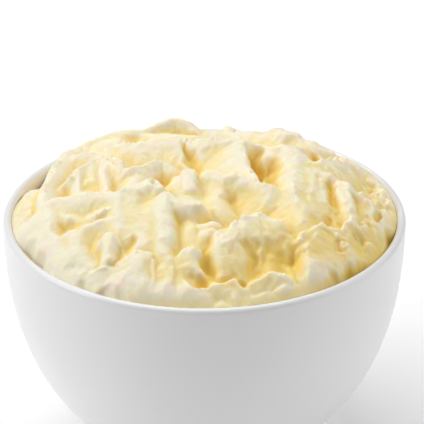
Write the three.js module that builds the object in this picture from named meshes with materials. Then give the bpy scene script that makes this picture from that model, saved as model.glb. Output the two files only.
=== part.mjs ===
// A round porcelain bowl heaped with mashed potato, as a side dish is served.
// Millimetres, +Z up. The origin is the middle of the foot, on the table.

import * as THREE from "three";

// ---- driving dimensions of the bowl ----------------------------------------

const BOWL_HEIGHT = 80;
const BODY_RADIUS = 65.6; // outside, at the widest place just under the lip
const BODY_DEPTH = 87.2; // the body's curve would close this far under the rim
const BODY_FLATNESS = 2.5; // how long the sides stay upright before they turn in
const BODY_ROUNDNESS = 2.03; // how round they are where they turn
const WALL = 2.9;
const LIP_ROUNDING = WALL / 2;
const INSIDE_DEPTH = 74;
const INSIDE_FLATNESS = 2.9;
const INSIDE_ROUNDNESS = 2.1;
const FOOT_RADIUS = 31;
const FOOT_HEIGHT = 3.5;
const FOOT_WIDTH = 4;
const FOOT_RECESS = 2.2; // the hollow under the bowl, inside the foot ring

// ---- driving dimensions of the mash -----------------------------------------

const GAP = 0.4; // between the mash and the wall it is pressed against
const EDGE_HEIGHT = -0.8; // where the mash meets the wall, from the rim
const EDGE_CLEARANCE = 0.9; // the outermost mash stays this far under the rim
const GROUND_HEIGHT = 7.5; // the low ground between the folds, above the rim
const GROUND_FLATNESS = 5.5; // how far out that ground stays high
const FRONT_FLATNESS = 2.7; // it slopes away sooner toward the front
const LEFT_FLATNESS = 2.5; // and toward the left
const LEFT_ANGLE = THREE.MathUtils.degToRad(172);
const LEFT_SPREAD = 0.75; // radians
const BARE_WALL_ANGLE = THREE.MathUtils.degToRad(153); // the wall shows here
const BARE_WALL_DROP = 5;
const BARE_WALL_SPREAD = 0.26;
const CREST_ROUNDNESS = 1.2;
const FOLD_REACH = 8; // this far from its crest a fold has dropped another mm

// The spoon pulled the mash into folds. `front` and `back` say how steep a fold
// falls toward the front and toward the back, `flat` is the half width of a flat
// top, and the crest runs from its left to its right end, with heights above
// the rim.
const FOLDS = [
  { name: "left flank", front: 2.6, back: 0.4,
    crest: [[-42, 25, 11.5], [-50, 9, 12], [-52, -7, 9.5], [-49, -22, 7]] },
  { name: "left terrace", front: 0.75, back: 2.4,
    crest: [[-51, -10, 8.5], [-42, -13, 12.5], [-31, -15, 14.5]] },
  { name: "second terrace", front: 0.75, back: 2,
    crest: [[-46, -2, 11.5], [-41, 5, 13], [-36, 10, 14.5], [-24, 0, 15.5]] },
  { name: "inner terrace", front: 0.8, back: 1.4,
    crest: [[-24, 0, 15.5], [-18, 4, 15.5], [-10, 4, 15]] },
  { name: "terrace rib", front: 1.2, back: 1.2, crest: [[-32, 7, 14.5], [-32, -10, 12]] },
  { name: "arched lump", front: 0.7, back: 2.4,
    crest: [[-29, -20, 14], [-23, -13, 16], [-17, -10, 16], [-13, -15, 15]] },
  { name: "face of the arch", front: 0.6, back: 0.6,
    crest: [[-22, -17, 14.5], [-20, -36, 10]] },
  { name: "middle lip", front: 1.1, back: 1.2,
    crest: [[-13, -20, 15.5], [-6, -22, 15.5], [-1, -25, 13.5]] },
  { name: "bright ridge", front: 0.7, back: 2.4, flat: 1.6,
    crest: [[-12.5, -21, 15.5], [-12.5, -32, 13], [-12, -43, 9]] },
  { name: "shelf", front: 0.4, back: 1.4, crest: [[-33, 20, 14], [-6, 22, 16], [13, 20, 16]] },
  { name: "peak", front: 0.9, back: 0.9,
    crest: [[-36, 27, 11], [-20, 32, 15], [-11, 35, 17], [-3, 31, 14.5]] },
  { name: "back crest", front: 0.35, back: 0.9,
    crest: [[-2, 31, 14], [14, 32, 13.5], [25, 30, 16], [37, 24, 13], [60, 2, 4]] },
  { name: "big face", front: 0.3, back: 3, crest: [[13, 18, 16.5], [14, 5, 16], [17, -4, 16]] },
  { name: "centre fold", front: 0.6, back: 2.4,
    crest: [[0, -2, 15.5], [15, -6, 16.5], [20, -12, 15.5], [25, -12, 15.5]] },
  { name: "pale block", front: 1.3, back: 1.3, flat: 2,
    crest: [[-4.5, -4, 15], [-4.5, -12, 14]] },
  { name: "scoop top", front: 0.5, back: 0.8, crest: [[14, 20, 15], [27, 16, 15.5]] },
  { name: "spine", front: 0.9, back: 0.9,
    crest: [[27.5, 15, 16], [27.5, -4, 16], [28.5, -22, 14], [30, -29, 12]] },
  { name: "right of the spine", front: 0.5, back: 0.5,
    crest: [[33.5, -5, 15], [33.5, -23, 12]] },
  { name: "slit edge", front: 0.35, back: 2.6, crest: [[37.5, 0, 14.5], [38.5, -18, 12]] },
  { name: "right rib", front: 2, back: 2, flat: 1.6,
    crest: [[44, -7, 13.5], [45, -18, 11], [46, -26, 8.5]] },
  { name: "ledge", front: 0.9, back: 1, crest: [[36, 1.5, 15], [42, -4, 14], [53, -12, 8]] },
  { name: "right shelf", front: 0.6, back: 1.6,
    crest: [[33.5, 7.5, 15], [44, 13, 13], [52, 13, 9]] },
  { name: "right crest", front: 0.8, back: 2.2,
    crest: [[29, -38, 9.5], [36, -30, 11], [41, -30, 9.5], [50, -23, 7.5]] },
  { name: "right body", front: 0.6, back: 0.6, crest: [[34, -34, 10], [34, -46, 5]] },
  { name: "big lump", front: 0.3, back: 2.2,
    crest: [[2, -43, 10], [8, -35, 13.5], [16, -28, 15.5], [24, -32, 13], [28, -38, 10]] },
  { name: "column", front: 2.8, back: 2.8, flat: 3.2,
    crest: [[6.5, -39, 11.5], [6.5, -49, 4.5]] },
  { name: "lower roll", front: 0.8, back: 2,
    crest: [[-4, -58, 1.5], [2, -56, 4], [10, -54, 4.5]] },
  { name: "lower right roll", front: 0.8, back: 2,
    crest: [[12, -55, 3], [21, -50, 5], [29, -49, 4]] },
  { name: "white lump", front: 0.7, back: 1.8,
    crest: [[-7.5, -46, 8.5], [-5, -44, 10], [-1, -45, 9.5]] },
  { name: "body of the front", front: 0.5, back: 0.5, crest: [[-11, -46, 8], [-10.5, -54, 5]] },
  { name: "front step", front: 0.6, back: 1.8,
    crest: [[-26, -46, 6], [-20, -44, 9], [-16, -44, 8.5]] },
  { name: "lobe", front: 0.9, back: 1.8, flat: 1.5, crest: [[-29, -35, 10], [-29, -43, 7]] },
  { name: "lower left roll", front: 0.8, back: 1.6,
    crest: [[-42, -43, 1], [-33, -46, 4], [-26, -48, 4.5]] },
  { name: "lip of the terrace", front: 1.8, back: 0.4,
    crest: [[-45, -19, 8.5], [-35, -25, 11], [-30, -23, 12.5]] },
  { name: "left slope", front: 0.7, back: 0.7, crest: [[-49, -16, 8.5], [-42, -38, 3.5]] },
  { name: "lower left body", front: 0.7, back: 0.7, crest: [[-40, -29, 8], [-35, -42, 4.5]] },
  { name: "wall lump", front: 0.3, back: 1.8, crest: [[-61.5, 13, -0.5], [-54, 14, 1]] },
  { name: "second wall lump", front: 0.4, back: 1.8,
    crest: [[-61.5, -6, -0.2], [-53.5, -7, 2.5]] },
  { name: "back roll", front: 0.4, back: 0.7,
    crest: [[-30, 44, 4.5], [0, 49, 4.5], [32, 41, 4.5]] },
  { name: "right roll", front: 0.9, back: 1.2, crest: [[48, 34, 2], [57, 19, 2]] },
];

// Pockets where the spoon left the mash.
const HOLLOWS = [
  { name: "behind the pale block", at: [-4.5, 14], size: [3, 9], turn: -30, depth: 4.5 },
  { name: "left of the pale block", at: [-13, -3], size: [4, 5], turn: 0, depth: 2.4 },
  { name: "scoop", at: [17, 9], size: [3, 11], turn: 0, depth: 4.5 },
  { name: "slit", at: [40.5, -12.5], size: [2.4, 9], turn: 0, depth: 3.4 },
  { name: "under the left terrace", at: [-41, -25], size: [7, 4], turn: 0, depth: 2.4 },
  { name: "beside the terrace rib", at: [-36, -6.5], size: [3.6, 5.5], turn: 0, depth: 3 },
  { name: "left of the column", at: [1, -47.5], size: [3, 8], turn: 0, depth: 2.6 },
  { name: "right of the column", at: [14.5, -46], size: [4.2, 7.5], turn: 0, depth: 2.6 },
  { name: "right end of the big lump", at: [27, -42], size: [2.8, 6], turn: 0, depth: 3.6 },
  { name: "left crevice at the rim", at: [-54, -31], size: [3, 12], turn: -30, depth: 5 },
];

// ---- how fine the faces are ---------------------------------------------------

const BOWL_SIDES = 48;
const WALL_STEPS = 11;
const LIP_STEPS = 6;
const MASH_RINGS = 31; // ring k has 6k points, so all faces are about as large
const UNDERSIDE_RINGS = [96, 60, 48, 36, 24, 12];

// ---- small helpers ------------------------------------------------------------

const { clamp, lerp, smoothstep } = THREE.MathUtils;

function outsideRadius(depth) {
  const turned = Math.pow(depth / BODY_DEPTH, BODY_FLATNESS);
  return BODY_RADIUS * Math.pow(1 - turned, 1 / BODY_ROUNDNESS);
}

function insideRadius(depth, clearance = 0) {
  const turned = Math.pow(clamp(depth / (INSIDE_DEPTH - clearance), 0, 1), INSIDE_FLATNESS);
  return (BODY_RADIUS - WALL - clearance) * Math.pow(1 - turned, 1 / INSIDE_ROUNDNESS);
}

// ---- the bowl -----------------------------------------------------------------

function bowlProfile() {
  const points = [];
  const add = (radius, height) => points.push(new THREE.Vector2(radius, height));

  // Up the inside, from the middle of the floor to under the lip.
  add(0, BOWL_HEIGHT - INSIDE_DEPTH);
  for (let step = 1; step <= WALL_STEPS; step++) {
    const turn = (step / WALL_STEPS) * (Math.PI / 2);
    const depth = lerp(INSIDE_DEPTH, LIP_ROUNDING, Math.pow(Math.sin(turn), 1.6));
    if (step === 1) add(insideRadius(INSIDE_DEPTH - 0.6), BOWL_HEIGHT - INSIDE_DEPTH + 0.6);
    add(insideRadius(depth), BOWL_HEIGHT - depth);
  }

  // Over the rounded lip.
  const lipMiddle = BODY_RADIUS - LIP_ROUNDING;
  for (let step = 1; step < LIP_STEPS; step++) {
    const turn = Math.PI - (step / LIP_STEPS) * Math.PI;
    add(
      lipMiddle + LIP_ROUNDING * Math.cos(turn),
      BOWL_HEIGHT - LIP_ROUNDING + LIP_ROUNDING * Math.sin(turn),
    );
  }

  // Down the outside to the foot.
  const footDepth = BOWL_HEIGHT - FOOT_HEIGHT;
  for (let step = 0; step <= WALL_STEPS; step++) {
    const turn = (step / WALL_STEPS) * (Math.PI / 2);
    const depth = lerp(LIP_ROUNDING, footDepth, Math.sin(turn));
    add(outsideRadius(depth), BOWL_HEIGHT - depth);
  }

  // The foot ring and the recess inside it.
  add(FOOT_RADIUS, FOOT_HEIGHT);
  add(FOOT_RADIUS, 0);
  add(FOOT_RADIUS - FOOT_WIDTH, 0);
  add(FOOT_RADIUS - FOOT_WIDTH, FOOT_RECESS);
  add(0, FOOT_RECESS);
  return points.reverse();
}

function makeBowl() {
  const geometry = new THREE.LatheGeometry(bowlProfile(), BOWL_SIDES);
  geometry.rotateX(Math.PI / 2);
  const material = new THREE.MeshStandardMaterial({
    color: 0xf1f1f3, roughness: 0.3, metalness: 0,
  });
  const bowl = new THREE.Mesh(geometry, material);
  bowl.name = "bowl";
  return bowl;
}

// ---- the surface of the mash ----------------------------------------------------

// The angle from one direction to another, the short way round.
function turnedFrom(angle, middle) {
  return Math.atan2(Math.sin(angle - middle), Math.cos(angle - middle));
}

// The ground between the folds, as a height above the rim.
function groundHeight(x, y) {
  const out = clamp(Math.hypot(x, y) / (BODY_RADIUS - WALL), 0, 1);
  const angle = Math.atan2(y, x);
  const toFront = clamp(-Math.sin(angle), 0, 1) ** 1.5;
  const toLeft = Math.exp(-((turnedFrom(angle, LEFT_ANGLE) / LEFT_SPREAD) ** 2));
  const flatness = GROUND_FLATNESS
    - (GROUND_FLATNESS - FRONT_FLATNESS) * toFront - (GROUND_FLATNESS - LEFT_FLATNESS) * toLeft;
  const bare = Math.exp(-((turnedFrom(angle, BARE_WALL_ANGLE) / BARE_WALL_SPREAD) ** 2));
  return (EDGE_HEIGHT - BARE_WALL_DROP * bare) * out ** 3 + GROUND_HEIGHT * (1 - out ** flatness);
}

// How far a fold has dropped at some distance from its crest.
function fall(distance, slope, flat) {
  const beyond = Math.max(distance - flat, 0);
  const rounded = Math.hypot(beyond, CREST_ROUNDNESS) - CREST_ROUNDNESS;
  return slope * rounded + (beyond / FOLD_REACH) ** 2;
}

// The height of a fold over a place: the highest that any stretch of its crest
// makes it. The steepness changes from the front one to the back one by the
// direction in which the place lies from the crest.
function foldHeight(x, y, { front, back, flat = 0, crest }) {
  let highest = -Infinity;
  for (let i = 0; i + 1 < crest.length; i++) {
    const [ax, ay, az] = crest[i];
    const [bx, by, bz] = crest[i + 1];
    const length = Math.hypot(bx - ax, by - ay);
    const t = clamp(((x - ax) * (bx - ax) + (y - ay) * (by - ay)) / length ** 2, 0, 1);
    const offX = x - lerp(ax, bx, t);
    const offY = y - lerp(ay, by, t);
    const distance = Math.hypot(offX, offY);
    const turned = (offX * (by - ay) - offY * (bx - ax)) / (length * Math.max(distance, 1e-6));
    const toFront = ((1 + turned) / 2) ** 3;
    const dropped = lerp(fall(distance, back, flat), fall(distance, front, flat), toFront);
    highest = Math.max(highest, lerp(az, bz, t) - dropped);
  }
  return highest;
}

function hollowDepth(x, y, hollow) {
  const turn = THREE.MathUtils.degToRad(hollow.turn);
  const dx = x - hollow.at[0];
  const dy = y - hollow.at[1];
  const across = (dx * Math.cos(turn) - dy * Math.sin(turn)) / hollow.size[0];
  const along = (dx * Math.sin(turn) + dy * Math.cos(turn)) / hollow.size[1];
  return hollow.depth * clamp(1 - across ** 2 - along ** 2, 0, 1) ** 1.5;
}

function mashHeight(x, y) {
  const ground = groundHeight(x, y);
  const folded = Math.max(ground, ...FOLDS.map((fold) => foldHeight(x, y, fold)));
  const dug = Math.max(...HOLLOWS.map((hollow) => hollowDepth(x, y, hollow)));
  const out = clamp(Math.hypot(x, y) / (BODY_RADIUS - WALL), 0, 1);
  return ground + (folded - ground) * (1 - out ** 40) - dug;
}

// ---- the solid of the mash ------------------------------------------------------

// Joins two closed rings of points that may differ in number.
function joinRings(outer, inner, faces, upward) {
  const face = (a, b, c) => (upward ? faces.push(a, b, c) : faces.push(a, c, b));
  let i = 0;
  let j = 0;
  while (i < outer.length || j < inner.length) {
    const stepOuter = j >= inner.length || (i + 1) * inner.length <= (j + 1) * outer.length;
    if (i < outer.length && (stepOuter || inner.length === 1)) {
      face(inner[j % inner.length], outer[i], outer[(i + 1) % outer.length]);
      i++;
    } else {
      if (inner.length > 1) {
        face(inner[j % inner.length], outer[i % outer.length], inner[(j + 1) % inner.length]);
      }
      j++;
    }
  }
}

function makeMash() {
  const points = [];
  const faces = [];
  const ringOf = (count, place) => {
    const ring = [];
    for (let i = 0; i < count; i++) {
      const angle = (i / count) * 2 * Math.PI;
      ring.push(points.push(place(angle)) - 1);
    }
    return ring;
  };

  // The top, ring by ring from the middle out. It never reaches into the wall.
  const surfacePoint = (share) => (angle) => {
    const reach = share * insideRadius(-EDGE_HEIGHT, GAP);
    const x = reach * Math.cos(angle);
    const y = reach * Math.sin(angle);
    const ceiling = lerp(60, -EDGE_CLEARANCE, smoothstep(share, 0.9, 1));
    const height = Math.min(mashHeight(x, y), ceiling);
    const limit = insideRadius(Math.max(-height, 0), GAP);
    const pull = Math.min(1, limit / Math.max(reach, 1e-6));
    return new THREE.Vector3(x * pull, y * pull, BOWL_HEIGHT + height);
  };
  let ring = ringOf(1, surfacePoint(0));
  for (let k = 1; k <= MASH_RINGS; k++) {
    const next = ringOf(6 * k, surfacePoint(k / MASH_RINGS));
    joinRings(next, ring, faces, true);
    ring = next;
  }

  // The underside follows the inside of the bowl down to its floor.
  const edge = ring.map((index) => BOWL_HEIGHT - points[index].z);
  const floorDepth = INSIDE_DEPTH - GAP;
  UNDERSIDE_RINGS.forEach((count, k) => {
    const turn = ((k + 1) / UNDERSIDE_RINGS.length) * (Math.PI / 2);
    const next = ringOf(count, (angle) => {
      const near = edge[Math.round((angle / (2 * Math.PI)) * edge.length) % edge.length];
      const depth = lerp(near, floorDepth - 0.3, Math.sin(turn));
      const radius = insideRadius(depth, GAP);
      return new THREE.Vector3(
        radius * Math.cos(angle), radius * Math.sin(angle), BOWL_HEIGHT - depth,
      );
    });
    joinRings(ring, next, faces, false);
    ring = next;
  });
  const middle = ringOf(1, () => new THREE.Vector3(0, 0, BOWL_HEIGHT - floorDepth));
  joinRings(ring, middle, faces, false);

  const geometry = new THREE.BufferGeometry().setFromPoints(points);
  geometry.setIndex(faces);
  geometry.computeVertexNormals();
  const material = new THREE.MeshStandardMaterial({
    color: 0xf5ecc4, roughness: 0.55, metalness: 0,
  });
  const mash = new THREE.Mesh(geometry, material);
  mash.name = "mashed_potato";
  return mash;
}

const side = new THREE.Group();
side.add(makeBowl(), makeMash());

export default side;
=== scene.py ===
# %% [markdown]
# # Mashed potato in a porcelain bowl
# A deep, round, white bowl is heaped over its rim with mashed potato that a spoon has pulled into
# soft folds. Two pieces make it: the glazed bowl and the mash. Both are drawn from the same sizes
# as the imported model, so they stand exactly where its plain solids stand.

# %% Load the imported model
import math

import bpy
import numpy as np
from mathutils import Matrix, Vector


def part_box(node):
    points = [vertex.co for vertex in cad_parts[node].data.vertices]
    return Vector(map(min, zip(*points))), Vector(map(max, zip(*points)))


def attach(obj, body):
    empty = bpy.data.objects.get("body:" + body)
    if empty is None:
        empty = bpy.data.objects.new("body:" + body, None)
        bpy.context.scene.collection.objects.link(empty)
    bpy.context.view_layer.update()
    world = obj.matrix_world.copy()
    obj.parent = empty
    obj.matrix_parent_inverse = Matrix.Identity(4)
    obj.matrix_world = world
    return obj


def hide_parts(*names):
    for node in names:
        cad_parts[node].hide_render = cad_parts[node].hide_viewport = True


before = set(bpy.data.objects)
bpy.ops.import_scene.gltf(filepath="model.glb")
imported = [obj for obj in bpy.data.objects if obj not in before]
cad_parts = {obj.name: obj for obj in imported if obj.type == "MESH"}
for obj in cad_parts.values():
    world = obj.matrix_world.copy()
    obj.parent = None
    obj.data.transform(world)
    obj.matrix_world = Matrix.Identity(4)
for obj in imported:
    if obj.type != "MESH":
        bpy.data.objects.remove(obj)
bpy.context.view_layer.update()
print("nodes", sorted(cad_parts))

# %% [markdown]
# The real bowl is about 131 mm wide and 80 mm high, one piece of turned porcelain. Its sizes are
# written in millimetres, as a potter would, and turned into Blender's metres at the last moment.
# The rim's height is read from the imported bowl, so that the two can't drift apart.

# %% Sizes of the bowl
MM = 0.001
RIM_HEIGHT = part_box("bowl")[1].z / MM
BODY_RADIUS = 65.6
BODY_DEPTH = 87.2
BODY_FLATNESS = 2.5
BODY_ROUNDNESS = 2.03
WALL = 2.9
LIP_ROUNDING = WALL / 2
INSIDE_DEPTH = 74.0
INSIDE_FLATNESS = 2.9
INSIDE_ROUNDNESS = 2.1
FOOT_RADIUS = 31.0
FOOT_HEIGHT = 3.5
FOOT_WIDTH = 4.0
FOOT_RECESS = 2.2
print("rim at", round(RIM_HEIGHT, 1), "mm")

# %% [markdown]
# The camera looks down at 27 degrees from about 60 cm through a long lens, so the rim is a narrow
# ellipse. It could be placed by hand, but then nobody could say why it stands there. Here its
# place is worked out from an angle and a distance. It aims a little to the right of the rim's
# middle, which puts the bowl slightly left in the frame, and the lower edge cuts off the foot.

# %% Camera
FRAME_PIXELS = 424
FOCAL_PIXELS = 1848.0
SENSOR_WIDTH = 36.0
CAMERA_DISTANCE = 603.6
CAMERA_HEIGHT_ANGLE = math.radians(27.0)
AIM_RIGHT = 2.45
AIM_DOWN = 0.46


def add_object(name, data):
    thing = bpy.data.objects.new(name, data)
    bpy.context.scene.collection.objects.link(thing)
    return thing


def turn_toward(thing, place, target):
    thing.location = place
    thing.rotation_euler = (target - Vector(place)).to_track_quat("-Z", "Y").to_euler()


camera_data = bpy.data.cameras.new("camera")
camera_data.sensor_width = SENSOR_WIDTH
camera_data.lens = FOCAL_PIXELS * SENSOR_WIDTH / FRAME_PIXELS
camera = add_object("camera", camera_data)
bpy.context.scene.camera = camera
rim_middle = Vector((0.0, 0.0, RIM_HEIGHT * MM))
sight = Vector((0.0, math.cos(CAMERA_HEIGHT_ANGLE), -math.sin(CAMERA_HEIGHT_ANGLE)))
frame_up = Vector((0.0, math.sin(CAMERA_HEIGHT_ANGLE), math.cos(CAMERA_HEIGHT_ANGLE)))
aim = rim_middle + Vector((AIM_RIGHT * MM, 0.0, 0.0)) - frame_up * AIM_DOWN * MM
turn_toward(camera, rim_middle - sight * CAMERA_DISTANCE * MM, aim)
print("lens", round(camera_data.lens, 1), "mm")

# %% [markdown]
# The bowl stands on a sheet of white card that catches its soft shadow. One flat face with four
# corners is enough for it. A real card is lit from all round the studio, so this one gets a very
# faint glow of its own, which keeps it nearly white away from the bowl. Sizes of the studio are in
# metres.

# %% Ground
CARD_HALF = 1.5
CARD_COLOUR = (0.9, 0.9, 0.9)
CARD_ROUGHNESS = 0.8
CARD_GLOW = 0.13
OPAQUE_WHITE = (1.0, 1.0, 1.0, 1.0)


def add_mesh(name, points, faces):
    mesh = bpy.data.meshes.new(name)
    mesh.from_pydata(points, [], faces)
    mesh.update()
    return add_object(name, mesh)


def add_card(name, height):
    sides = ((-1, -1), (1, -1), (1, 1), (-1, 1))
    corners = [(CARD_HALF * x, CARD_HALF * y, height) for x, y in sides]
    return add_mesh(name, corners, [(0, 1, 2, 3)])


def plain_material(name, colour, roughness):
    material = bpy.data.materials.new(name)
    material.use_nodes = True
    shader = material.node_tree.nodes["Principled BSDF"]
    shader.inputs["Base Color"].default_value = (*colour, 1.0)
    shader.inputs["Roughness"].default_value = roughness
    return material, shader


def glow_white(shader, strength):
    shader.inputs["Emission Color"].default_value = OPAQUE_WHITE
    shader.inputs["Emission Strength"].default_value = strength


ground = add_card("ground", 0.0)
ground_paint, ground_shader = plain_material("white_card", CARD_COLOUR, CARD_ROUGHNESS)
glow_white(ground_shader, CARD_GLOW)
ground.data.materials.append(ground_paint)
print("card", 2 * CARD_HALF, "m wide")

# %% [markdown]
# Behind the card stands a plain white room. A world colour could stand in for it, but that would
# light the bowl as well. A large glowing sphere that only the camera sees stays out of the light
# and out of the reflections, so room and light can be set apart.

# %% Room
ROOM_RADIUS = 6.0
ROOM_SEGMENTS = 48
BLACK = (0.0, 0.0, 0.0)


def show_to_camera_only(piece):
    piece.visible_diffuse = False
    piece.visible_glossy = False
    piece.visible_transmission = False
    piece.visible_shadow = False


bpy.ops.mesh.primitive_uv_sphere_add(
    segments=ROOM_SEGMENTS, ring_count=ROOM_SEGMENTS // 2, radius=ROOM_RADIUS)
room_wall = bpy.context.object
room_wall.name = "room"
room_paint, room_shader = plain_material("white_room", BLACK, 1.0)
glow_white(room_shader, 1.0)
room_wall.data.materials.append(room_paint)
show_to_camera_only(room_wall)
print("room", 2 * ROOM_RADIUS, "m wide")

# %% [markdown]
# A finish is a small network of nodes. They could be dragged together in the node editor, which is
# good for trying things out. A script says the same two things again and again: make this node
# with these settings, and join this output to that input. So each gets a helper.

# %% Helpers for nodes
def add_node(material, kind, **settings):
    """A node whose inputs and other settings are given by their names."""
    node = material.node_tree.nodes.new(kind)
    for key, value in settings.items():
        if key in node.inputs:
            node.inputs[key].default_value = value
        else:
            setattr(node, key, value)
    return node


def link(material, out, into):
    material.node_tree.links.new(out, into)


print("helpers", add_node.__name__, "and", link.__name__)

# %% [markdown]
# Far from the lights the card would turn grey and end in a hard line against the room. Stronger
# lights would cure that but burn out the bowl. Instead, a clear sheet just above the card adds a
# glow that grows with the distance from the bowl, so the card fades to white. Like the room, only
# the camera sees it, and it changes no light on the bowl.

# %% Fade of the card
FADE_FROM = 0.16
FADE_TO = 0.6
FADE_GLOW = 0.7
FADE_HEIGHT = 0.0005


def make_fade():
    material = bpy.data.materials.new("fade_to_white")
    material.use_nodes = True
    material.node_tree.nodes.clear()
    place = add_node(material, "ShaderNodeTexCoord")
    distance = add_node(material, "ShaderNodeVectorMath", operation="LENGTH")
    growth = add_node(material, "ShaderNodeMapRange", interpolation_type="SMOOTHSTEP")
    growth.inputs["From Min"].default_value = FADE_FROM
    growth.inputs["From Max"].default_value = FADE_TO
    growth.inputs["To Max"].default_value = FADE_GLOW
    glow = add_node(material, "ShaderNodeEmission")
    clear = add_node(material, "ShaderNodeBsdfTransparent")
    both = add_node(material, "ShaderNodeAddShader")
    output = add_node(material, "ShaderNodeOutputMaterial")
    link(material, place.outputs["Object"], distance.inputs[0])
    link(material, distance.outputs["Value"], growth.inputs["Value"])
    link(material, growth.outputs["Result"], glow.inputs["Strength"])
    link(material, glow.outputs["Emission"], both.inputs[0])
    link(material, clear.outputs["BSDF"], both.inputs[1])
    link(material, both.outputs["Shader"], output.inputs["Surface"])
    return material


fade = add_card("fade", FADE_HEIGHT)
fade.data.materials.append(make_fade())
show_to_camera_only(fade)
print("fade from", FADE_FROM, "to", FADE_TO, "m")

# %% [markdown]
# The light is that of a small studio: a dim white world all round, one big soft light high on the
# left, a weaker one on the right that keeps that side of the bowl from going dark, and a soft one
# overhead. Large area lights near the bowl give the soft edges of shadows that a softbox gives.
# The side that faces the camera gets the least.

# %% Lights
ROOM_LIGHT = 0.205


def add_softbox(name, place, size, power):
    data = bpy.data.lights.new(name, "AREA")
    data.shape = "SQUARE"
    data.size = size
    data.energy = power
    turn_toward(add_object(name, data), place, rim_middle)


room_light = bpy.data.worlds.new("room_light")
room_light.use_nodes = True
room_light.node_tree.nodes["Background"].inputs["Color"].default_value = OPAQUE_WHITE
room_light.node_tree.nodes["Background"].inputs["Strength"].default_value = ROOM_LIGHT
bpy.context.scene.world = room_light
bpy.context.scene.view_settings.view_transform = "Standard"
add_softbox("key_light", place=(-1.8, -0.2, 1.2), size=1.2, power=19.0)
add_softbox("fill_light", place=(1.3, -0.05, 0.7), size=1.2, power=7.4)
add_softbox("top_light", place=(-0.2, 0.35, 0.95), size=0.9, power=6.4)

# %% [markdown]
# The bowl was turned on a wheel, so its whole form is one outline spun round. The wall could be a
# curve drawn by hand. A superellipse says it more exactly, with two exponents for how long it
# stays upright and how roundly it turns in. The inside has one of its own, a little tighter.

# %% Curves of the wall
def outside_radius(depth):
    turned = (depth / BODY_DEPTH) ** BODY_FLATNESS
    return BODY_RADIUS * (1 - turned) ** (1 / BODY_ROUNDNESS)


def inside_radius(depth):
    turned = np.clip(np.asarray(depth, float) / INSIDE_DEPTH, 0, 1) ** INSIDE_FLATNESS
    return (BODY_RADIUS - WALL) * (1 - turned) ** (1 / INSIDE_ROUNDNESS)


print("outside radius halfway down", round(outside_radius(RIM_HEIGHT / 2), 1), "mm")

# %% [markdown]
# Below stands a plain foot ring, trimmed from the clay with a shallow recess inside it. A separate
# ring could be joined on, but then the glaze would show a seam. So it is the outline's last part,
# with each corner taken off a little, because sharp corners chip and catch no light.

# %% Foot ring
FOOT_FILLET = 0.6
FOOT_CHAMFER = 0.5
RECESS_CHAMFER = 0.4


def foot_outline(body_radius):
    """From the body's lower end inward, over the foot ring, to the middle of the recess."""
    inner_radius = FOOT_RADIUS - FOOT_WIDTH
    return [
        (body_radius - 2 * FOOT_FILLET, FOOT_HEIGHT - FOOT_FILLET),
        (FOOT_RADIUS + FOOT_FILLET, FOOT_HEIGHT - FOOT_CHAMFER),
        (FOOT_RADIUS, FOOT_HEIGHT - 2 * FOOT_CHAMFER),
        (FOOT_RADIUS, FOOT_CHAMFER),
        (FOOT_RADIUS - FOOT_CHAMFER, 0.0),
        (inner_radius + FOOT_CHAMFER, 0.0),
        (inner_radius, FOOT_CHAMFER),
        (inner_radius, FOOT_RECESS - RECESS_CHAMFER),
        (inner_radius - RECESS_CHAMFER, FOOT_RECESS),
        (0.0, FOOT_RECESS),
    ]


print("foot ring", FOOT_WIDTH, "mm wide")

# %% [markdown]
# The parts are strung together as one line: from the middle of the floor up the inside, over a
# half-round lip, down the outside and over the foot ring. Steps grow shorter toward the floor
# and the lip, where the line bends most, which a line of equal steps would make angular.

# %% Outline of the bowl
OUTLINE_STEPS = 40
LIP_STEPS = 18
INSIDE_CROWDING = 1.6


def bowl_outline():
    """From the middle of the floor inside, over the lip, to the middle of the recess below."""
    turns = np.linspace(0, math.pi / 2, OUTLINE_STEPS)
    rise = np.sin(turns) ** INSIDE_CROWDING
    inner_depths = INSIDE_DEPTH + (LIP_ROUNDING - INSIDE_DEPTH) * rise
    inner = [(inside_radius(depth), -depth) for depth in inner_depths]
    lip_middle = BODY_RADIUS - LIP_ROUNDING
    lip = [(lip_middle + LIP_ROUNDING * math.cos(turn), LIP_ROUNDING * (math.sin(turn) - 1))
           for turn in np.linspace(math.pi, 0, LIP_STEPS)[1:-1]]
    outer_depths = LIP_ROUNDING + (RIM_HEIGHT - FOOT_HEIGHT - LIP_ROUNDING) * np.sin(turns)
    outer = [(outside_radius(depth), -depth) for depth in outer_depths]
    outline = [(radius, RIM_HEIGHT + height) for radius, height in inner + lip + outer]
    return outline + foot_outline(outer[-1][0])


outline = bowl_outline()
print("outline points", len(outline))

# %% [markdown]
# Now the outline is spun round the bowl's axis, as the wheel did. A Screw modifier does the same,
# but it leaves a seam and many points on top of each other on the axis. Here each outline point
# makes one ring, a point on the axis stays a single point, and neighbouring rings are joined.

# %% Spin the bowl
BOWL_SIDES = 192
TINY = 1e-6


def spin(name, outline, sides):
    points = []
    rings = []
    for radius, height in outline:
        if radius < TINY:
            rings.append([len(points)] * sides)
            points.append((0.0, 0.0, height * MM))
            continue
        start = len(points)
        rings.append([start + i for i in range(sides)])
        for i in range(sides):
            turn = 2 * math.pi * i / sides
            points.append((radius * MM * math.cos(turn), radius * MM * math.sin(turn), height * MM))
    faces = []
    for low, high in zip(rings, rings[1:]):
        for i in range(sides):
            corners = (low[i], low[(i + 1) % sides], high[(i + 1) % sides], high[i])
            faces.append(tuple(dict.fromkeys(reversed(corners))))
    return add_mesh(name, points, faces)


def shade_smooth(piece):
    piece.data.polygons.foreach_set("use_smooth", [True] * len(piece.data.polygons))
    piece.data.update()


bowl = spin("porcelain_bowl", outline, BOWL_SIDES)
shade_smooth(bowl)
print("bowl faces", len(bowl.data.polygons))

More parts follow.
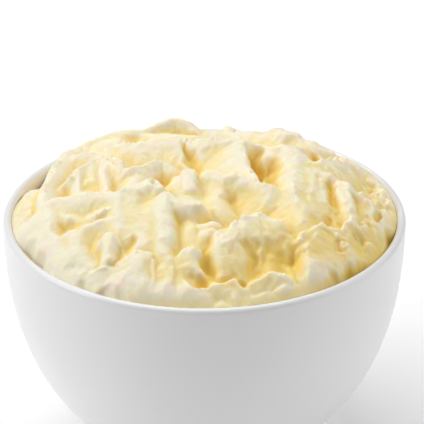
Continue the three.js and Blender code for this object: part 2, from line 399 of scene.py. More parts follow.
# %% [markdown]
# White porcelain is a bright body under a clear glaze. It could be one glossy white, but then the
# body would mirror as sharply as the glaze. A dull base under a thin smooth coat keeps the two
# apart. The glaze is never quite even, so a very faint broad noise bends it.

# %% Porcelain
PORCELAIN_COLOUR = (0.86, 0.852, 0.858)
PORCELAIN_ROUGHNESS = 0.34
PORCELAIN_FINISH = {"IOR": 1.5, "Coat Weight": 0.2, "Coat Roughness": 0.08}


def set_finish(shader, finish):
    for key, value in finish.items():
        shader.inputs[key].default_value = value


def add_unevenness(material, shader, scale, detail, strength, distance):
    place = add_node(material, "ShaderNodeTexCoord")
    grain = add_node(material, "ShaderNodeTexNoise", Scale=scale, Detail=detail)
    bump = add_node(material, "ShaderNodeBump", Strength=strength, Distance=distance)
    link(material, place.outputs["Object"], grain.inputs["Vector"])
    link(material, grain.outputs["Fac"], bump.inputs["Height"])
    link(material, bump.outputs["Normal"], shader.inputs["Normal"])


def make_porcelain():
    material, shader = plain_material("porcelain", PORCELAIN_COLOUR, PORCELAIN_ROUGHNESS)
    set_finish(shader, PORCELAIN_FINISH)
    add_unevenness(material, shader, scale=60.0, detail=2.0, strength=0.03, distance=0.001)
    return material


bowl.data.materials.append(make_porcelain())
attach(bowl, "root")
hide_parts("bowl")
print("bowl finish", bowl.data.materials[0].name)

# %% [markdown]
# The mash is sculpted as a height over every place in the bowl. A sculpting brush could do it by
# hand, but a formula can be corrected one fold at a time. Everything uneven in it starts from one
# ingredient, smooth noise: random slopes on a grid, blended so that no corner shows.

# %% Noise
NOISE_CELLS = 256
NOISE_STRENGTH = 1.5
noise_slopes = {}


def smooth_step(share):
    return share ** 3 * (share * (share * 6 - 15) + 10)


def noise(x, y, seed):
    """Smooth random values between about -1 and 1, with bumps one unit wide."""
    if seed not in noise_slopes:
        turn = np.random.default_rng(seed).uniform(0, 2 * math.pi, (NOISE_CELLS, NOISE_CELLS))
        noise_slopes[seed] = (np.cos(turn), np.sin(turn))
    slope_x, slope_y = noise_slopes[seed]
    cell_x, cell_y = np.floor(x).astype(int), np.floor(y).astype(int)
    in_x, in_y = x - cell_x, y - cell_y
    mix_x, mix_y = smooth_step(in_x), smooth_step(in_y)

    def corner(i, j):
        a, b = (cell_x + i) % NOISE_CELLS, (cell_y + j) % NOISE_CELLS
        return slope_x[a, b] * (in_x - i) + slope_y[a, b] * (in_y - j)

    near = corner(0, 0) * (1 - mix_x) + corner(1, 0) * mix_x
    far = corner(0, 1) * (1 - mix_x) + corner(1, 1) * mix_x
    return NOISE_STRENGTH * (near * (1 - mix_y) + far * mix_y)


def bumps(x, y, size, seed):
    """Noise with bumps that are size millimetres wide."""
    return noise(x / size, y / size, seed)


sample = noise(np.linspace(0, 99, 1000), np.full(1000, 0.3), 1)
print("noise from", round(float(sample.min()), 2), "to", round(float(sample.max()), 2))

# %% [markdown]
# Where mash tears, it leaves shallow dishes side by side with sharp ridges between them. Noise
# alone has no sharp ridges. So each dish is a small paraboloid with its own middle, tilt and
# depth, one to a cell of a grid, and at every place the lowest one wins.

# %% Torn dishes
DISH_SPREAD = 0.35
DISH_DEPTHS = 0.5
DISH_NEIGHBOURS = [(i, j) for i in (-1, 0, 1) for j in (-1, 0, 1)]
dish_draws = {}


def dishes(x, y, size, seed):
    x, y = x / size, y / size
    if seed not in dish_draws:
        cells = (5, NOISE_CELLS, NOISE_CELLS)
        dish_draws[seed] = np.random.default_rng(seed).uniform(-DISH_SPREAD, DISH_SPREAD, cells)
    lowest = np.full(np.shape(x), np.inf)
    for i, j in DISH_NEIGHBOURS:
        cell_x, cell_y = np.floor(x).astype(int) + i, np.floor(y).astype(int) + j
        draws = dish_draws[seed][:, cell_x % NOISE_CELLS, cell_y % NOISE_CELLS]
        middle_x, middle_y, tilt_x, tilt_y, depth = draws
        from_x, from_y = x - cell_x - 0.5 - middle_x, y - cell_y - 0.5 - middle_y
        dish = from_x ** 2 + from_y ** 2 + tilt_x * from_x + tilt_y * from_y
        lowest = np.minimum(lowest, dish + DISH_DEPTHS * depth)
    return lowest


print("dishes compared at each place", len(DISH_NEIGHBOURS))

# %% [markdown]
# Every fold of mash has a crest, the line along which the spoon let go of it. Straight lines
# between a few given points would show their corners, so the points are first joined by a
# smooth Catmull-Rom curve, which runs through all of them.

# %% Curve through the points of a crest
CURVE_STEPS = 5


def smooth_path(path):
    path = np.array(path, float)
    ends = [2 * path[0] - path[1], *path, 2 * path[-1] - path[-2]]
    places = []
    for a, b, c, d in zip(ends, ends[1:], ends[2:], ends[3:]):
        for t in np.arange(CURVE_STEPS) / CURVE_STEPS:
            curve = 2 * b + (c - a) * t + (2 * a - 5 * b + 4 * c - d) * t ** 2
            places.append((curve + (3 * b - a - 3 * c + d) * t ** 3) / 2)
    places.append(path[-1])
    return np.array(places)


print("curve points for three placed ones", len(smooth_path([(0, 0, 0), (4, 2, 1), (8, 0, 0)])))

# %% [markdown]
# A place on the surface needs to know how high the nearest crest is, how far away it lies and on
# which side. Each side falls from a flat or rounded top at its own slope, and faster far away, so
# that a fold ends by itself. A loft between curves could make one fold, but only heights can be
# compared where many folds run into each other. Round the end of a crest, one side turns softly
# into the other.

# %% Height around a crest
FOLD_REACH = 8.0
CREST_SHARPNESS = 0.6
SIDE_CHANGE = 3
FAR = 1e9


def side_fall(away, side, flat):
    slope, roundness = side[0], CREST_SHARPNESS * side[1]
    beyond = np.maximum(away - flat, 0)
    return slope * (np.hypot(beyond, roundness) - roundness) + (beyond / FOLD_REACH) ** 2


def along_crest(x, y, path, front, back, flat):
    """Even height of a fold, distance to its crest, way along it and share of the front side."""
    line = smooth_path(path)
    height = np.full(x.shape, -FAR)
    away = np.full(x.shape, FAR)
    along = np.zeros_like(x)
    facing = np.zeros_like(x)
    run = 0.0
    for start, end in zip(line, line[1:]):
        way = end - start
        length = math.hypot(way[0], way[1])
        t = np.clip(((x - start[0]) * way[0] + (y - start[1]) * way[1]) / length ** 2, 0, 1)
        off_x, off_y = x - start[0] - t * way[0], y - start[1] - t * way[1]
        off = np.hypot(off_x, off_y)
        turned = (off_x * way[1] - off_y * way[0]) / (length * np.maximum(off, TINY))
        to_front = ((1 + turned) / 2) ** SIDE_CHANGE
        fall = to_front * side_fall(off, front, flat) + (1 - to_front) * side_fall(off, back, flat)
        height = np.maximum(height, start[2] + t * way[2] - fall)
        closer = off < away
        away = np.where(closer, off, away)
        along = np.where(closer, run + t * length, along)
        facing = np.where(closer, to_front, facing)
        run += length
    return height, away, along, facing


print("a crest reaches about", FOLD_REACH, "mm")

# %% [markdown]
# The folds themselves are written down one by one, as a sculptor would lay them: the crest from
# left to right as (x, y, height above the rim), and for the side that faces the front and the
# side behind it how steep it falls and how round it is at the top. A torn lip is sharp and steep
# behind, and a soft roll is round on both sides. Flat is half the width of a level top, and rough
# is how much of the unevenness a fold takes. First come the left side and the bright ridge.

# %% Folds at the left and the bright ridge
def fold(name, front, back, *crest, rough=1.0, flat=0.0):
    return dict(name=name, front=front, back=back, crest=crest, rough=rough, flat=flat)


FOLDS = [
    fold("left flank", (2.6, 0.6), (0.4, 2.0),
         (-42, 25, 11.5), (-46.8, 18, 12.4), (-49.8, 9, 11.8), (-51.3, 1, 10.6), (-51.8, -7, 9.4),
         (-51.2, -15, 8), (-49.5, -22, 6.8)),
    fold("left terrace", (0.55, 1.4), (2.4, 0.3),
         (-51, -10, 8.6), (-47, -11.5, 10.6), (-42.7, -13, 12.3), (-36, -14, 13.8),
         (-31, -14.8, 14.6), (-28.5, -16, 14.4), rough=0.6),
    fold("arched lump", (0.6, 1.0), (2.4, 0.4),
         (-27, -17, 14.5), (-23.5, -14.4, 15.8), (-20, -12.8, 16.2), (-17, -11.8, 16.3),
         (-14.8, -13.5, 15.8), rough=0.9, flat=1.6),
    fold("face of the arch", (0.45, 3.0), (0.45, 3.0),
         (-22.5, -15, 15), (-21.5, -25, 12.6), (-20, -36, 9.8), rough=0.5),
    fold("middle lip", (1.05, 1.6), (1.4, 0.3),
         (-13.2, -20.5, 15.4), (-12, -20, 15.8), (-9.5, -21.8, 15.3), (-6, -22.8, 15.2),
         (-3, -23.4, 14.8), (-1.5, -25, 13.6), flat=1.2),
    fold("bright ridge", (0.7, 1.2), (1.5, 1.2),
         (-12.6, -20.5, 15.6), (-12.5, -26, 14.3), (-12.3, -32, 12.8), (-12.1, -38, 10.8),
         (-12, -43, 8.8), rough=0.4, flat=1.6),
    fold("left of the bright ridge", (0.35, 2.0), (0.5, 2.0),
         (-17, -22, 13.8), (-17.5, -30, 12), (-18, -38, 9.8), rough=0.5),
    fold("pocket wall", (0.5, 2.5), (0.5, 2.5),
         (-4.5, -30, 10.7), (-4, -36, 9.4), (-3.5, -42, 8.2), rough=0.8),
    fold("small crest", (0.5, 1.2), (1.4, 0.3),
         (-1.5, -29.5, 10.8), (1, -30, 11.7), (4, -30.4, 11.3)),
    fold("second small crest", (0.6, 1.5), (1.3, 0.4),
         (-1, -35, 10.8), (2.5, -35, 11.2), (5.5, -36, 10.8)),
]
print("folds so far", len(FOLDS))

# %% [markdown]
# Behind them lie two terraces with ribs pulled across them, then a long shelf and the highest
# peak. A terrace could be one wide fold, but each of its steps casts a shadow of its own, so
# each step is laid for itself. A fold called floor fills what would be too deep between others.

# %% Folds of the terraces and the back
FOLDS += [
    fold("second terrace", (0.75, 1.4), (2.0, 0.4),
         (-46.1, -2, 11.4), (-42.9, 1, 12.6), (-41.3, 5, 13.2), (-39.4, 7, 13.6), (-36, 10, 14.4),
         (-33, 9, 14.9), (-30.5, 6, 15.1), (-28, 3, 15.2), (-24.7, 0, 15.2)),
    fold("inner terrace", (0.8, 1.2), (1.4, 0.5),
         (-24.7, 0, 15.3), (-21, 1.5, 15.5), (-17.7, 4, 15.7), (-13.8, 6, 15.8), (-10.5, 4, 15.2)),
    fold("terrace rib", (1.2, 1.8), (1.2, 1.8),
         (-32.5, 7, 14.8), (-32.1, -2, 13.4), (-31.7, -10, 12), rough=0.4),
    fold("outer terrace rib", (1.2, 1.4), (1.2, 1.4),
         (-41, 4, 12.8), (-40.3, -8, 10.8), rough=0.4),
    fold("floor between the ribs", (0.5, 2.0), (0.5, 2.0),
         (-36.5, 6, 13), (-36, -8, 10.8), rough=0.4),
    fold("slope of the inner terrace", (0.5, 3.0), (0.5, 3.0),
         (-22, 0, 14.6), (-22, -8, 12.4)),
    fold("behind the terrace", (0.8, 1.0), (1.2, 1.0),
         (-43, 17, 12.8), (-39, 16.5, 13.6), (-34.5, 14.5, 14.4), (-30, 11, 14.8), (-27, 7, 14.8)),
    fold("shelf", (0.4, 1.5), (1.4, 0.5),
         (-33, 20, 14), (-29, 20.5, 14.8), (-24, 20.5, 15.4), (-18, 21.5, 15.8), (-12, 22, 16),
         (-6, 21.5, 16), (0, 21.7, 16), (10, 21.8, 15.9), (13, 19.5, 15.8)),
    fold("peak", (0.9, 1.2), (0.9, 2.0),
         (-39, 27, 12.4), (-35, 30, 13), (-30.5, 31, 14.2), (-25, 31, 14.8), (-19.5, 32, 14.8),
         (-15, 34, 16.4), (-10.7, 35.5, 17.2), (-6.3, 34, 16.6), (-3.5, 31, 14.6)),
    fold("floor behind the shelf", (0.4, 3.0), (0.4, 3.0),
         (-33, 25, 13.2), (-24, 26, 14), (-12, 27, 15), (-4, 27, 14.6), rough=0.5),
    fold("back crest", (0.35, 2.0), (0.9, 2.0),
         (-2, 31, 13.8), (6, 33, 13), (14, 32, 13.4), (20, 31, 14.6), (25.5, 29.5, 16),
         (32, 26, 14.3), (37, 24, 13.2), (44.5, 21, 9.6), (49, 19, 8.8), (53, 15, 7), (57, 10, 5),
         (60, 2, 4)),
]
print("folds so far", len(FOLDS))

# %% [markdown]
# In the middle a broad face leans toward the left and breaks off steeply on its right, a pale
# block stands up, and a fold steps down to the right. They are calm, because a spoon smoothed
# them, so their slopes are gentle on the wiped side and steep on the torn one.

# %% Folds in the middle
FOLDS += [
    fold("big face", (0.28, 3.0), (3.0, 0.4),
         (13, 18, 16.2), (13.5, 12, 16.3), (14.3, 5, 16.2), (15.3, -1.5, 16), (16.8, -4.5, 15.8)),
    fold("knob", (1.5, 0.8), (1.5, 0.8),
         (12, 17.5, 16.6), (13, 17, 16.6)),
    fold("centre fold", (0.8, 2.0), (2.4, 0.3),
         (0.5, -2, 15.4), (3, -3, 15.8), (7, -4.5, 16), (11.4, -6, 16), (15.5, -6.2, 16.4)),
    fold("step of the centre fold", (0.72, 2.0), (2.4, 0.3),
         (16, -7.5, 16.1), (17.8, -10.5, 15.9), (20, -12.4, 15.7), (22.5, -13.2, 15.6),
         (25.5, -12, 15.6)),
    fold("pale block", (2.5, 0.8), (2.5, 0.8),
         (-4.7, -2, 15.5), (-4.7, -6, 15.1), (-4.7, -10, 14.3), rough=0.25, flat=1.8),
    fold("bed of the block", (0.5, 2.0), (0.5, 2.0),
         (-6, -5, 14), (-6, -13, 12.6), rough=0.4, flat=2),
    fold("low face beside the block", (0.5, 3.0), (0.5, 3.0),
         (3.5, -8, 13.4), (3.5, -18, 11.4), rough=0.6),
    fold("scoop top", (0.5, 1.0), (0.8, 1.0),
         (14.5, 20.5, 15.2), (19, 19, 15.3), (22, 16.5, 15.4), (27, 16.3, 15.4)),
]
print("folds so far", len(FOLDS))

# %% [markdown]
# At the right a long spine runs down to the front, with a slit, a rib and a ledge beside it.
# A wide rib could be made of two crests. A flat top does it with one, and keeps both edges
# parallel.

# %% Folds at the right
FOLDS += [
    fold("spine", (0.6, 3.0), (0.45, 3.0),
         (28.6, 15, 16), (29.8, 8, 16.2), (28.2, 1, 16), (29.4, -6, 15.8), (27.8, -13, 15.2),
         (28.8, -20, 14), (30, -29, 11.8), rough=0.8),
    fold("right of the spine", (0.4, 2.5), (0.4, 2.5),
         (33.8, 0, 15.1), (33.8, -14, 14), (33.5, -23, 11.8), rough=0.5),
    fold("slit edge", (0.35, 1.5), (1.7, 0.3),
         (37.5, 0, 14.6), (38.3, -6, 14), (38.6, -12, 13), (38.4, -18, 11.8)),
    fold("right rib", (2.0, 1.2), (2.0, 1.2),
         (43.8, -7, 13.6), (44.4, -13, 12.4), (45, -18, 11.2), (45.6, -23, 9.6), (46.2, -26, 8.6),
         rough=0.35, flat=1.6),
    fold("ledge", (0.9, 0.6), (1.0, 0.6),
         (36, 1.5, 14.9), (39.8, -2.5, 14.4), (42, -4.3, 13.9), (45, -7, 12.9), (47.2, -8.6, 11.9),
         (50.3, -10.6, 9.9), (52.8, -12.4, 8)),
    fold("right shelf", (0.6, 1.0), (1.6, 0.4),
         (33.5, 7.5, 15), (37.7, 6.5, 14.9), (43.8, 12.8, 13), (46.4, 13.5, 11.8),
         (51.5, 13, 8.8)),
    fold("right crest", (0.8, 1.0), (2.2, 0.3),
         (28.9, -38, 9.6), (30.2, -35.7, 10.3), (32, -33.8, 10.8), (34.2, -31.5, 11.2),
         (36.7, -30, 11.2), (38.2, -31, 10), (40.7, -30.6, 9.4), (43.7, -27.6, 9.6),
         (46.1, -25.5, 9), (50, -22.8, 7.6)),
    fold("right body", (0.6, 3.0), (0.6, 3.0),
         (34, -34, 10.2), (34, -40, 8), (34, -46, 5), rough=0.6),
    fold("body beside the rib", (0.6, 3.0), (0.6, 3.0),
         (50, -13, 9), (50.5, -19, 7.6), rough=0.7),
    fold("edge of the right face", (1.1, 0.4), (0.3, 3.0),
         (29.5, -38.5, 9), (30.6, -43, 6.8), (31.2, -48, 4.2)),
    fold("inner right edge", (1.4, 0.4), (0.7, 1.0),
         (38.5, -32, 9.4), (41.9, -34, 7.6), (43.9, -37, 5.8)),
    fold("right streak", (1.4, 1.0), (1.4, 1.0),
         (51.5, -20, 6.8), (53.2, -24, 4.6), (54, -27, 2.8)),
    fold("ochre lump", (0.8, 2.0), (1.0, 1.5),
         (57.5, -9, 4.4), (58.3, -14, 3.2), (57.5, -19, 2)),
]
print("folds so far", len(FOLDS))

# %% [markdown]
# The front is seen from closest by, so it has the most to tell: a big lump with a brow and a
# column under it, rolls below, and at the left a lobe, a step and short ribs. Bodies carry the
# lumps down to the wall, since a crest alone would stand there like a thin sheet.

# %% Folds at the front
FOLDS += [
    fold("big lump", (0.3, 2.5), (2.2, 0.4),
         (2, -43, 10.2), (3.5, -41.6, 11), (5.3, -40, 11.8), (6.8, -37.5, 12.6), (8.5, -35, 13.3),
         (11, -32.5, 13.9), (13.5, -30, 14.2), (16, -28.2, 14.3), (18.5, -28.8, 13.7),
         (21.3, -30.5, 12.6), (24.3, -32.5, 11.6), (26.6, -35, 10.4), (28.5, -38.5, 8.6)),
    fold("brow of the lump", (1.3, 0.5), (0.3, 1.0),
         (14, -34.6, 12.1), (17.7, -34.5, 12), (20.7, -35.2, 11.2), (24.2, -36, 10.2)),
    fold("column", (2.6, 0.6), (2.6, 0.6),
         (6.4, -39, 12.2), (6.4, -44.5, 8.6), (6.4, -49.5, 5.2), rough=0.3, flat=3.2),
    fold("rib in the lump", (0.7, 1.6), (0.7, 1.6),
         (19.5, -37.5, 9.8), (20, -45, 6.8), rough=0.3),
    fold("lower right roll", (0.8, 1.0), (1.3, 0.5),
         (11.8, -55.5, 3.2), (15.2, -54, 3.9), (18.5, -51.9, 5), (21.5, -50.5, 5.2),
         (24.2, -51.5, 4), (27, -51.5, 2.4), rough=0.7),
    fold("low right lump", (0.9, 1.5), (1.2, 1.0),
         (39.5, -41, 4.6), (42, -39.2, 5), (45, -38.2, 3.4)),
    fold("far right lump", (0.9, 1.5), (1.2, 1.0),
         (49.5, -31.5, 4), (51.5, -29.8, 4), (53.5, -28.4, 2.4)),
    fold("lower roll", (0.8, 0.8), (1.6, 0.5),
         (-0.5, -56.5, 2.8), (2.5, -55.6, 3.9), (6.4, -55, 4.2), (9.7, -54.2, 4.6), rough=0.7),
    fold("lobe", (1.2, 2.0), (2.0, 0.8),
         (-31.8, -38, 8.6), (-30.6, -35.8, 10), (-29.2, -34.8, 10.6), (-27.4, -35.8, 10.2),
         (-26.4, -38.5, 9), rough=0.6),
    fold("body of the lobe", (2.2, 1.2), (2.2, 1.2),
         (-29.2, -36.5, 10.4), (-29, -40, 9.2), (-28.8, -43.5, 7.4), rough=0.3, flat=1.2),
    fold("lower left roll", (0.8, 0.8), (1.6, 0.4),
         (-42, -43.5, 1), (-37.3, -45.4, 2.4), (-33, -46, 3.8), (-29.3, -46.7, 4.6),
         (-26, -48, 4.6)),
    fold("front step", (0.6, 1.5), (1.8, 0.4),
         (-26.2, -46, 6), (-24.4, -44.6, 7.2), (-22.3, -44, 8.2), (-19.6, -43.7, 8.8),
         (-16.5, -44.5, 8.6), rough=0.7),
    fold("body of the step", (0.45, 3.0), (0.45, 3.0),
         (-20, -47, 7.8), (-19, -54, 4.8), rough=0.6),
    fold("body of the front", (0.5, 3.0), (0.5, 3.0),
         (-11, -46.5, 7.8), (-10.5, -54, 4.8), rough=0.6),
    fold("white lump", (0.7, 2.5), (1.8, 0.4),
         (-7.6, -46, 8.6), (-6.8, -44.4, 9.6), (-5.4, -43.6, 10), (-3.6, -44.2, 9.9),
         (-1.4, -44.8, 9.4), rough=0.6),
    fold("foot of the white lump", (0.5, 3.0), (0.5, 3.0),
         (-5, -47, 8.4), (-4, -55, 4.8), rough=0.6),
    fold("left rib", (1.6, 0.4), (1.2, 0.4),
         (-15.6, -47.4, 7.6), (-15.5, -52, 5.4), (-15.4, -55.4, 3.6)),
    fold("short rib", (1.4, 0.4), (1.4, 0.4),
         (-9.8, -50.5, 6.8), (-9.7, -54.5, 4.8)),
]
print("folds so far", len(FOLDS))

# %% [markdown]
# Last come the slope under the left terrace and the low rolls along the wall, where the spoon
# was wiped off. Nothing is left out at the back: it is lower and smoother, with a roll of its
# own, so the heap looks whole from every side.

# %% Folds at the lower left and along the wall
FOLDS += [
    fold("lip of the terrace", (1.8, 0.4), (0.4, 1.5),
         (-45.6, -19, 8.4), (-43.7, -20.5, 8.9), (-40.3, -23, 9.6), (-37, -24.8, 10.2),
         (-34.5, -24.8, 11), (-32.4, -23.7, 11.6), (-30.2, -22.8, 12.6)),
    fold("middle roll", (0.5, 2.5), (0.5, 2.5),
         (-28, -16, 14.2), (-26.5, -23, 12.8), (-25.5, -30, 11.2), rough=0.5),
    fold("edge under the lip", (0.7, 1.5), (1.6, 0.4),
         (-37.2, -28, 9), (-34.7, -27.6, 9.8), (-32.6, -26.6, 10.8), (-30, -27, 11.4),
         (-27, -29, 11.4)),
    fold("left slope", (0.7, 4.0), (0.7, 4.0),
         (-49.2, -16, 8.4), (-47.5, -24, 7), (-45.5, -31, 5.4), (-42.5, -38, 3.4), rough=0.3),
    fold("lower left body", (0.7, 4.0), (0.7, 4.0),
         (-40, -29, 8), (-38.5, -36, 6.4), (-35, -42, 4.6), rough=0.6),
    fold("wall lump", (0.3, 2.0), (1.8, 0.5),
         (-61.5, 13, -0.4), (-58, 15, 0.4), (-54, 14, 1), rough=0.5),
    fold("second wall lump", (0.3, 2.0), (1.2, 0.5),
         (-62, 3, -0.6), (-58, 3.5, 0.6), (-54, 3, 1.6), rough=0.6),
    fold("third wall lump", (0.4, 2.0), (1.8, 0.4),
         (-61.8, -6, -0.2), (-57.5, -6.5, 1.4), (-53.5, -7, 2.6), rough=0.6),
    fold("fourth wall lump", (0.9, 2.0), (1.4, 0.8),
         (-53.5, -20.5, -2), (-50.3, -20, -0.4), (-47.5, -22, 0.4), rough=0.6),
    fold("foot of the left slope", (0.9, 2.0), (1.0, 1.5),
         (-52.5, -24, 0.4), (-50, -28, 1), (-47.5, -33, 0.6)),
    fold("right wall roll", (0.9, 1.6), (1.2, 1.2),
         (48, 34, 2), (53, 27, 2), (57, 19, 2)),
    fold("front wall roll", (0.9, 1.2), (1.4, 0.6),
         (14.5, -58.5, 1.4), (20, -56.5, 2.2), (26, -54, 2), (31, -52.5, 1)),
    fold("left wall roll", (0.9, 1.4), (1.4, 0.6),
         (-20, -56.5, 1), (-13, -58, 2), (-6.5, -59, 1)),
    fold("back roll", (0.4, 3.0), (0.7, 3.0),
         (-30, 44, 4.5), (-15, 49, 5), (0, 49, 4.5), (15, 48, 5), (32, 41, 4.5)),
]
print("folds", len(FOLDS))

# %% [markdown]
# Where the spoon dug in, a hollow is left. Each is written down as an oval bowl pressed into the
# surface: its middle, half its width and length, its turn in degrees and its depth. Cutting balls
# out of the mesh would leave hard edges, while a depth can simply be taken off the height.

# %% The hollows
def hollow(x, y, wide, long, turn, depth):
    return dict(at=(x, y), size=(wide, long), turn=math.radians(turn), depth=depth)


HOLLOWS = [
    hollow(-4.4, 14, 3.0, 9, -30, 3.0),
    hollow(-13.2, -3, 4, 5, 0, 2.4),
    hollow(-41, -25, 7, 4, 0, 1.6),
    hollow(-36, -6.5, 3.6, 5.5, 0, 1.4),
    hollow(-44.5, -5, 3, 5, 0, 1.4),
    hollow(-24, 25.5, 7, 3.5, 0, 3.2),
    hollow(-7, 30.5, 5.5, 2.4, 0, 1.6),
    hollow(-22.6, -38.5, 2.6, 4.5, 0, 1.7),
    hollow(-54, -31, 3.0, 12, -30, 6.0),
    hollow(-31, -54.5, 12, 2.6, 30, 5.0),
    hollow(17.2, 9, 3.0, 11, 0, 4.5),
    hollow(21.2, 3, 5.5, 12, 0, 3.4),
    hollow(40.3, -12.5, 2.4, 9, 0, 1.8),
    hollow(39, -26.5, 3.6, 3.6, 0, 2.6),
    hollow(35.5, 15, 4.0, 6, 0, 5.5),
    hollow(54.6, -15, 2.0, 4, 0, 2.6),
    hollow(59.5, -20, 2.2, 9, 18, 5.0),
    hollow(14.6, -46, 4.2, 7.5, 0, 2.6),
    hollow(21.5, -45, 6, 7, 0, 2.2),
    hollow(27.2, -42, 2.8, 6, 0, 1.0),
    hollow(47, -32, 3.5, 5.5, 0, 1.0),
    hollow(0.8, -47.5, 3.2, 8, 0, 1.8),
    hollow(-1.4, -55, 4.5, 3, 0, 3.4),
    hollow(11.8, -54.5, 3, 2.5, 0, 1.6),
    hollow(45, -43, 14, 2.4, -45, 4.5),
    hollow(1, -26.5, 6, 2.8, 0, 3.2),
    hollow(13, -14, 9, 6, 0, 1.2),
]
print("hollows", len(HOLLOWS))

# %% [markdown]
# Under all the folds lies a low smooth heap that shows between them. It is high in the middle and
# falls late, as a full bowl does, to just under the rim. It falls earlier at the front and at the
# left, and at the back left a gap leaves some of the wall bare. One formula in distance and
# direction gives all this, where a modelled dome would need pulling at many points.

# %% Low ground
HEAP_RADIUS = 62.7
VALLEY_HEIGHT = 7.5
EDGE_HEIGHT = -0.8
EDGE_CURVE = 3
FULLNESS = 5.5
FRONT_FALL = 2.8
FRONT_CURVE = 1.5
LEFT_FALL = 3
LEFT_SIDE = math.radians(172)
LEFT_WIDTH = 0.75
GAP_AT_RIM = math.radians(153)
GAP_WIDTH = 0.26
GAP_DROP = 5.0


def ease(share):
    """A soft start and a soft end between 0 and 1."""
    share = np.clip(share, 0, 1)
    return share * share * (3 - 2 * share)


def turned_from(turn, middle):
    return np.angle(np.exp(1j * (turn - middle)))


def outward(x, y):
    return np.clip(np.hypot(x, y) / HEAP_RADIUS, 0, 1)


def valley_height(x, y):
    out = outward(x, y)
    turn = np.arctan2(y, x)
    fullness = FULLNESS - FRONT_FALL * np.clip(-np.sin(turn), 0, 1) ** FRONT_CURVE
    left = np.exp(-(turned_from(turn, LEFT_SIDE) / LEFT_WIDTH) ** 2)
    gap = np.exp(-(turned_from(turn, GAP_AT_RIM) / GAP_WIDTH) ** 2)
    edge = EDGE_HEIGHT - GAP_DROP * gap
    return edge * out ** EDGE_CURVE + VALLEY_HEIGHT * (1 - out ** (fullness - LEFT_FALL * left))


print("low ground in the middle", VALLEY_HEIGHT, "mm over the rim")

# %% [markdown]
# Mash at the right of the bowl is drier and tears more than the moist mash at the left. Two kinds
# side by side would show a border. One number that grows softly from left to right does not.

# %% Dryness
DRY_LEFT = 0.5
DRY_MORE = 0.55
DRY_FROM = -20
DRY_OVER = 45


def dryness(x):
    return DRY_LEFT + DRY_MORE * ease((x - DRY_FROM) / DRY_OVER)


print("dryness left and right", DRY_LEFT, "and", DRY_LEFT + DRY_MORE)

# %% [markdown]
# Mash doesn't let go cleanly. Where the two sides of a crest differ, small teeth are torn out of
# it. Beside every crest it is torn more broadly, and shallow flutes run down the face that was
# pulled. All three are noise that is stretched away from the crest. A displacement texture over
# the whole heap would know nothing of the crests.

# %% Height of one fold
ROW_SPACING = 3.7
RAGGED = 0.35
RAGGED_SWING = 1.5
RAGGED_LENGTH = 5
RAGGED_MOST = 1.2
TEETH = 1.3
TEARS = 0.95
FLUTES = 0.8
FINE_FLUTES = 0.25
FLUTE_SHARE = 0.6
FLUTE_START = 4


def near_crest(away, reach):
    return np.exp(-(away / reach) ** 2)


def fold_height(x, y, fold):
    sides = fold["front"], fold["back"], fold["flat"]
    height, away, along, facing = along_crest(x, y, fold["crest"], *sides)
    first = fold["crest"][0]
    row = ROW_SPACING * (first[0] + 2 * first[1])

    def streaks(length, stretch, seed):
        return noise(along / length, row + away / stretch, seed)

    ragged = RAGGED + RAGGED_SWING * noise(along / RAGGED_LENGTH, row, seed=16)
    ragged = np.clip(ragged, 0, RAGGED_MOST)
    tear = min(1.0, abs(fold["front"][0] - fold["back"][0]))
    teeth = TEETH * tear * ragged * streaks(length=1.3, stretch=1.5, seed=5)
    teeth = teeth * near_crest(away, reach=1.1)
    torn = TEARS * streaks(length=4, stretch=5, seed=6) * near_crest(away, reach=2.6)
    flutes = FLUTES * streaks(length=4.4, stretch=13, seed=7)
    flutes = flutes + FINE_FLUTES * streaks(length=1.8, stretch=7, seed=8)
    uneven = teeth + dryness(x) * (torn + FLUTE_SHARE * flutes * ease(away / FLUTE_START) * facing)
    return height + fold["rough"] * uneven


crest_x, crest_y, crest_height = FOLDS[0]["crest"][0]
built = fold_height(np.array([float(crest_x)]), np.array([float(crest_y)]), FOLDS[0])[0]
print("first crest planned", crest_height, "built", round(float(built), 1), "mm")

# %% [markdown]
# Nothing a spoon leaves is a clean curve or a clean oval. Every crest would be tedious to draw
# crooked, so the places themselves are shifted by a little noise before they are looked up, which
# bends crests and hollows alike. The hollows are shifted a second time and so lose their oval.

# %% Bent places and dug depth
BEND = 0.7
FINE_BEND = 0.25
HOLLOW_BEND = 1.4
HOLLOW_CURVE = 1.5


def bent(x, y):
    bend_x = BEND * bumps(x, y, size=5.0, seed=1) + FINE_BEND * bumps(x, y, size=1.9, seed=2)
    bend_y = BEND * bumps(x, y, size=5.0, seed=3) + FINE_BEND * bumps(x, y, size=1.9, seed=4)
    return x + bend_x, y + bend_y


def hollow_depth(x, y, oval):
    dx, dy = x - oval["at"][0], y - oval["at"][1]
    turn = oval["turn"]
    across = (dx * math.cos(turn) - dy * math.sin(turn)) / oval["size"][0]
    along = (dx * math.sin(turn) + dy * math.cos(turn)) / oval["size"][1]
    return oval["depth"] * np.clip(1 - across ** 2 - along ** 2, 0, None) ** HOLLOW_CURVE


def dug_depth(x, y):
    at_x, at_y = bent(x, y)
    at_x = at_x + HOLLOW_BEND * bumps(x, y, size=5.5, seed=9)
    at_y = at_y + HOLLOW_BEND * bumps(x, y, size=5.5, seed=10)
    return np.maximum.reduce([hollow_depth(at_x, at_y, oval) for oval in HOLLOWS])


deepest = dug_depth(*np.meshgrid(np.arange(-60, 60), np.arange(-60, 60))).max()
print("deepest hollow", round(float(deepest), 1), "mm")

# %% [markdown]
# Between the folds mash is still lumpy: broad soft lumps, torn dishes of two sizes, and at the
# right edge a part that has crumbled. Scattered small balls would look like beads, so the lumps
# are changes of height too.

